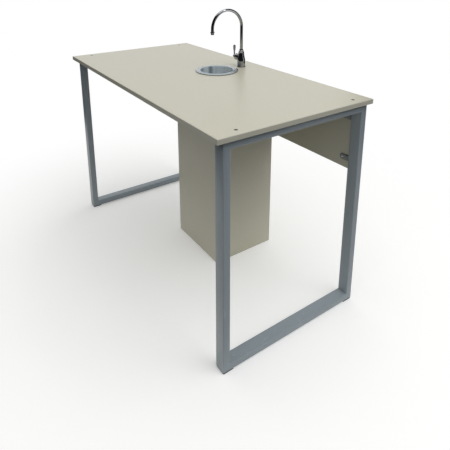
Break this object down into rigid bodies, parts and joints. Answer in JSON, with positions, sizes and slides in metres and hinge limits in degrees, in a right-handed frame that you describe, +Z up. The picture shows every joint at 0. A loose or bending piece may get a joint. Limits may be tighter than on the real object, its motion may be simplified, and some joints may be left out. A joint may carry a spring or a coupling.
{
  "type": "laboratory table",
  "caption": "Laboratory table with a board worktop on tubular end frames, a round inset sink, a gooseneck tap with a side lever, a plumbing pedestal and a modesty panel.",
  "frame": {"origin": "on the floor under the centre of the worktop", "axes": "+X to the worktop's right end, +Y to its back edge, where the tap and the modesty panel are, +Z up"},
  "size_m": [1.2, 0.6, 1.0032],
  "materials": {
    "worktop_laminate": "warm grey-beige laminate on board, matt",
    "panel_laminate": "warm grey-beige laminate on board, matt",
    "edge_band": "plastic edging in the laminate's colour, satin",
    "grey_enamel": "blue-grey powder coat, satin",
    "black_plastic": "black plastic, satin",
    "white_plastic": "white polypropylene, satin",
    "black_rubber": "black rubber, matt",
    "stainless_steel": "pressed stainless steel, polished rim and satin bowl",
    "zinc": "zinc plated steel",
    "chrome": "polished chrome",
    "brass": "machined brass",
    "beech": "planed beech, bare"
  },
  "bodies": {
    "table": {"worktop": "worktop_laminate", "worktop_edge_band": "edge_band", "worktop_screw_left_front": "zinc", "worktop_screw_left_back": "zinc", "worktop_screw_right_front": "zinc", "worktop_screw_right_back": "zinc", "left_front_leg": "grey_enamel", "left_back_leg": "grey_enamel", "left_head_rail": "grey_enamel", "left_foot_rail": "grey_enamel", "right_front_leg": "grey_enamel", "right_back_leg": "grey_enamel", "right_head_rail": "grey_enamel", "right_foot_rail": "grey_enamel", "left_front_glide": "black_plastic", "left_back_glide": "black_plastic", "right_front_glide": "black_plastic", "right_back_glide": "black_plastic", "modesty_panel": "panel_laminate", "left_lower_lug_screw": "zinc", "left_upper_lug_screw": "zinc", "right_lower_lug_screw": "zinc", "right_upper_lug_screw": "zinc", "pedestal_front_panel": "panel_laminate", "pedestal_service_panel": "panel_laminate", "pedestal_left_panel": "panel_laminate", "pedestal_right_panel": "panel_laminate", "left_top_cleat": "beech", "right_top_cleat": "beech", "left_service_cleat": "beech", "right_service_cleat": "beech", "left_service_screw": "zinc", "right_service_screw": "zinc", "sink_bowl": "stainless_steel", "sink_seal": "black_rubber", "drain_seal": "black_rubber", "drain_strainer": "stainless_steel", "drain_screw": "stainless_steel", "drain_body": "white_plastic", "drain_nut": "white_plastic", "trap_tailpiece": "white_plastic", "trap_inlet_nut": "white_plastic", "trap_outlet_nut": "white_plastic", "trap_body": "white_plastic", "trap_cup": "white_plastic", "outlet_pipe": "white_plastic", "tap_seal": "black_rubber", "tap_flange": "chrome", "tap_body": "chrome", "tap_shank": "brass", "tap_washer": "zinc", "tap_nut": "brass", "spout_gland": "chrome", "spout_bush": "white_plastic", "valve_bonnet": "chrome"},
    "spout": {"spout": "chrome", "spout_collar": "black_plastic", "spout_nozzle": "chrome"},
    "lever": {"tap_lever": "chrome", "valve_stem": "brass"}
  },
  "joints": [
    {"name": "spout_swivel", "type": "hinge", "parent": "table", "child": "spout", "pos_m": [0, 0.217, 0.83], "axis": [0, 0, 1], "continuous": true},
    {"name": "tap_lever_turn", "type": "hinge", "parent": "table", "child": "lever", "pos_m": [-0.0486, 0.217, 0.797], "axis": [1, 0, 0], "range_deg": [0, 90]}
  ]
}
